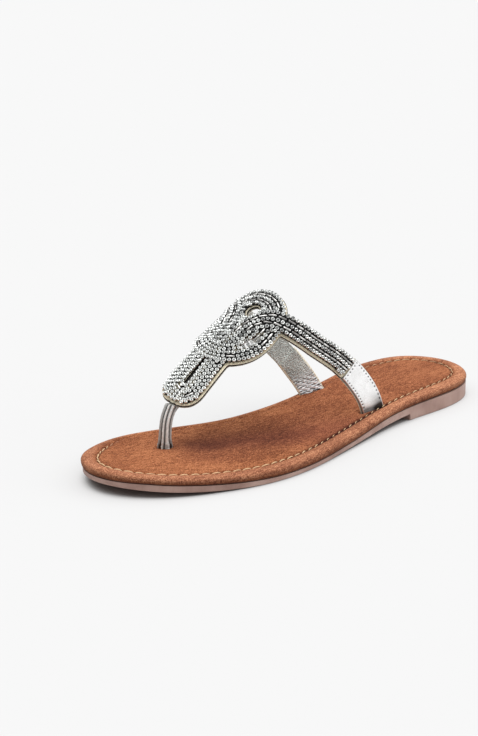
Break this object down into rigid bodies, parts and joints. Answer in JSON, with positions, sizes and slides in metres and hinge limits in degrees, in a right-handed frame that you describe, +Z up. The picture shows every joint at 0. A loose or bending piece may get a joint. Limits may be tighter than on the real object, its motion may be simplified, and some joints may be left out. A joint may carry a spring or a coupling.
{
  "type": "toe-post sandal",
  "caption": "Flat toe-post sandal for the left foot: suede footbed on a low-heeled outsole, with a beaded interlaced-ring strap panel, a leather toe post and plain strap tabs.",
  "frame": {"origin": "on the floor, under the middle of the shoe's overall box", "axes": "+X towards the heel, +Y towards the inner side of the foot, +Z up"},
  "size_m": [0.252, 0.0888, 0.0754],
  "materials": {
    "outsole_rubber": "smooth pinkish-brown edge",
    "tan_suede": "tan suede with a short nap",
    "beaded_leather": "silver seed and tube beads sewn close on metallic leather",
    "silver_leather": "silver foil leather"
  },
  "bodies": {
    "root": {"outsole": "outsole_rubber", "footbed": "tan_suede", "upper": "beaded_leather", "toe_post": "silver_leather", "strap_tab_lateral": "silver_leather", "strap_tab_medial": "silver_leather"}
  },
  "joints": []
}
